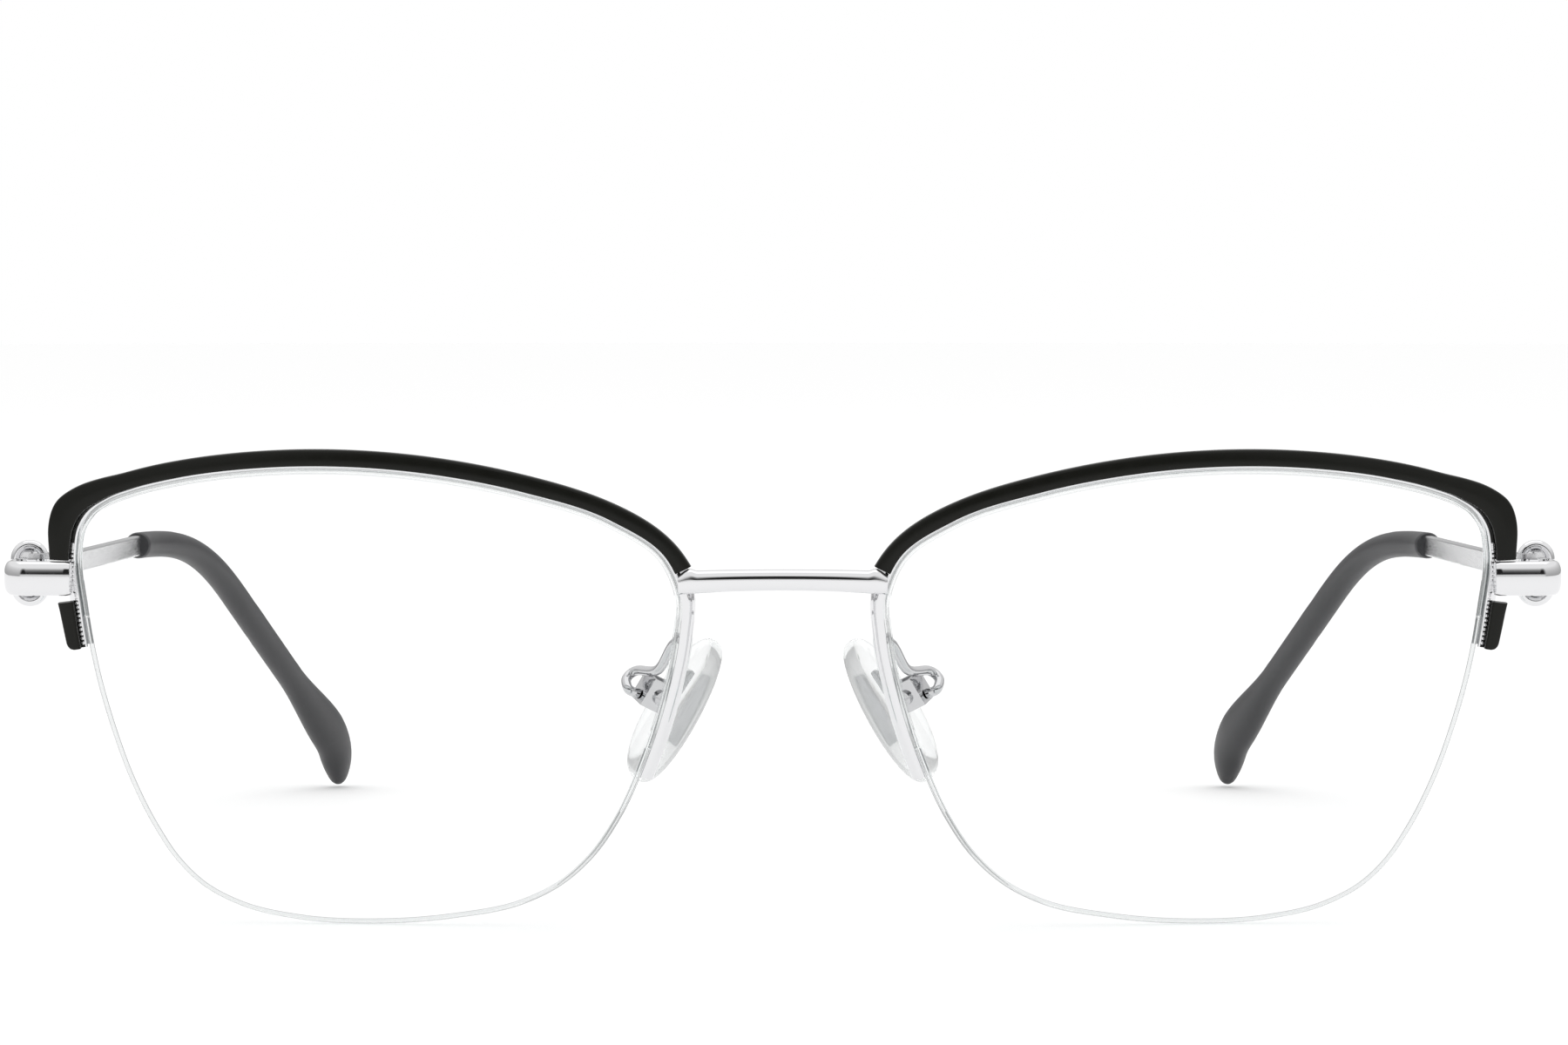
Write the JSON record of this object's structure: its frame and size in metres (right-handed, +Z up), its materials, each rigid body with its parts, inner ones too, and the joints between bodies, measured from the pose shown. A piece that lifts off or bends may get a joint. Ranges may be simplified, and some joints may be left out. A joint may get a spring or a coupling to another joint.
{
  "type": "browline glasses",
  "caption": "Semi-rimless browline glasses: enamelled metal half rims, clear lenses held by a nylon cord, adjustable nose pads and folding temples with curved plastic tips.",
  "frame": {"origin": "on the surface the glasses stand on, under the middle of their bounding box", "axes": "+X to the wearer's left, square to the plane of mirror symmetry; +Y from the front of the glasses back along the temples; +Z up, from the lens cords and temple tips they stand on to the brow line"},
  "size_m": [0.1412, 0.143, 0.043],
  "materials": {
    "black_enamel": "glossy black enamel",
    "polished_silver": "polished, plated",
    "screw_steel": "bright turned steel",
    "lens_clear": "clear, no tint, polished",
    "nylon_clear": "clear nylon",
    "pad_silicone": "clear soft silicone",
    "tip_plastic": "smooth dark grey, soft sheen"
  },
  "bodies": {
    "front": {"bridge": "polished_silver", "left_lens": "lens_clear", "left_lens_cord": "nylon_clear", "left_lens_liner": "nylon_clear", "left_rim": "polished_silver", "left_brow_bar": "black_enamel", "left_brow_end": "black_enamel", "left_end_piece": "polished_silver", "left_front_hinge_leaf": "polished_silver", "left_hinge_screw": "screw_steel", "left_pad_arm": "polished_silver", "left_pad_box": "polished_silver", "left_pad_screw": "screw_steel", "left_pad_core": "polished_silver", "left_nose_pad": "pad_silicone", "right_lens": "lens_clear", "right_lens_cord": "nylon_clear", "right_lens_liner": "nylon_clear", "right_rim": "polished_silver", "right_brow_bar": "black_enamel", "right_brow_end": "black_enamel", "right_end_piece": "polished_silver", "right_front_hinge_leaf": "polished_silver", "right_hinge_screw": "screw_steel", "right_pad_arm": "polished_silver", "right_pad_box": "polished_silver", "right_pad_screw": "screw_steel", "right_pad_core": "polished_silver", "right_nose_pad": "pad_silicone"},
    "left_temple": {"left_temple_arm": "polished_silver", "left_rear_hinge_leaf": "polished_silver", "left_temple_ring": "polished_silver", "left_temple_tip": "tip_plastic"},
    "right_temple": {"right_temple_arm": "polished_silver", "right_rear_hinge_leaf": "polished_silver", "right_temple_ring": "polished_silver", "right_temple_tip": "tip_plastic"}
  },
  "joints": [
    {"name": "left_temple_hinge", "type": "hinge", "parent": "front", "child": "left_temple", "pos_m": [0.06731, -0.05992, 0.0312], "axis": [0, 0, 1], "range_deg": [0, 82]},
    {"name": "right_temple_hinge", "type": "hinge", "parent": "front", "child": "right_temple", "pos_m": [-0.06731, -0.05992, 0.0312], "axis": [0, 0, -1], "range_deg": [0, 73]}
  ]
}
